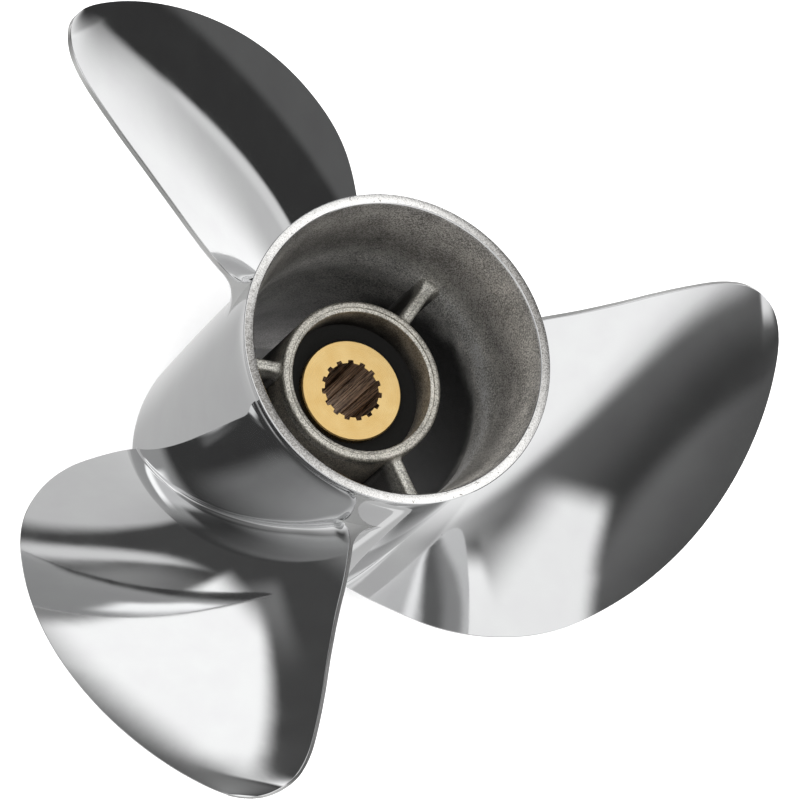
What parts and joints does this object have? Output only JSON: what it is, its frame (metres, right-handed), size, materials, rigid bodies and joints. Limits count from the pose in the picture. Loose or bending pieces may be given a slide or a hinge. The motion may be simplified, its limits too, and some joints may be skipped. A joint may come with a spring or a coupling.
{
  "type": "outboard motor propeller",
  "caption": "Polished steel boat propeller with skewed blades on a hollow exhaust barrel, with ribs, an inner hub tube, a rubber bush and a splined brass sleeve.",
  "frame": {"origin": "on the shaft axis, in the plane of the barrel's forward end, which it stands on", "axes": "+Z along the shaft axis, aft, towards the flared exhaust end"},
  "size_m": [0.316, 0.3323, 0.165],
  "materials": {
    "polished_steel": "mirror polished",
    "cast_steel": "as cast and blasted",
    "rubber": "moulded, matt",
    "brass": "machined"
  },
  "bodies": {
    "root": {"barrel": "polished_steel", "exhaust_flare": "polished_steel", "blade_1": "polished_steel", "blade_2": "polished_steel", "blade_3": "polished_steel", "hub_tube": "cast_steel", "rib_1": "cast_steel", "rib_2": "cast_steel", "rib_3": "cast_steel", "rubber_bush": "rubber", "brass_sleeve": "brass"}
  },
  "joints": []
}
